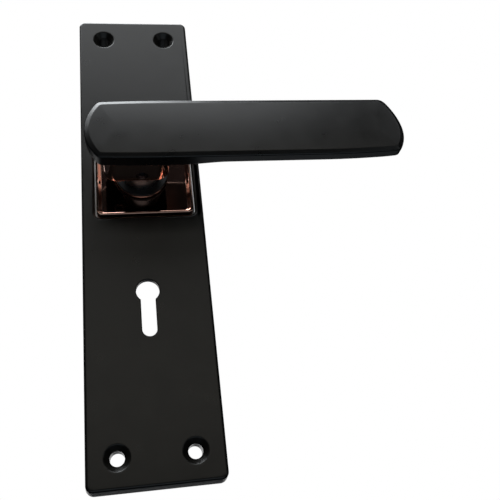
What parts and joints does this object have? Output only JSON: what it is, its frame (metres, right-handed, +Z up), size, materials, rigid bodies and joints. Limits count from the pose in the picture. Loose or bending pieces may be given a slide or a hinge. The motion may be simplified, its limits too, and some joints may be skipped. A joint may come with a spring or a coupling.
{
  "type": "lever door handle on keyhole backplate",
  "caption": "Black flat-bar lever handle on a long keyhole backplate, with a rose-gold square cup and neck and a sprung return mechanism behind.",
  "frame": {"origin": "spindle axis at the back face of the backplate, which lies on the door", "axes": "+X along the lever towards its tip, +Z up the door along the plate, -Y out of the door towards the hand"},
  "size_m": [0.1101, 0.0927, 0.178],
  "materials": {
    "black_coat": "satin black lacquer",
    "grip_coat": "satin black lacquer",
    "rose_gold": "polished rose gold plating",
    "zinc_steel": "zinc plated",
    "spring_steel": "oiled spring steel",
    "black_nylon": "moulded nylon"
  },
  "bodies": {
    "plate": {"backplate": "black_coat", "rose_cup": "rose_gold", "neck_bush": "black_nylon", "carrier_plate": "zinc_steel", "carrier_screw_upper_left": "zinc_steel", "carrier_screw_upper_right": "zinc_steel", "carrier_screw_lower_left": "zinc_steel", "carrier_screw_lower_right": "zinc_steel", "spring_anchor_pin": "zinc_steel", "rest_stop_pin": "zinc_steel", "travel_stop_pin": "zinc_steel", "return_spring": "spring_steel"},
    "lever": {"lever_grip": "grip_coat", "lever_neck": "rose_gold", "lever_spigot": "zinc_steel", "spindle": "zinc_steel", "spindle_set_screw": "spring_steel", "driver_cam": "zinc_steel", "spacer_ring": "black_nylon", "retaining_ring": "spring_steel", "grip_screw_upper": "zinc_steel", "grip_screw_lower": "zinc_steel"}
  },
  "joints": [
    {"name": "lever_turn", "type": "hinge", "parent": "plate", "child": "lever", "pos_m": [0, 0, 0], "axis": [0, 1, 0], "range_deg": [0, 45], "stiffness_Nm_per_rad": 0.3, "springref_deg": -20.05, "deforming": ["return_spring"]}
  ]
}
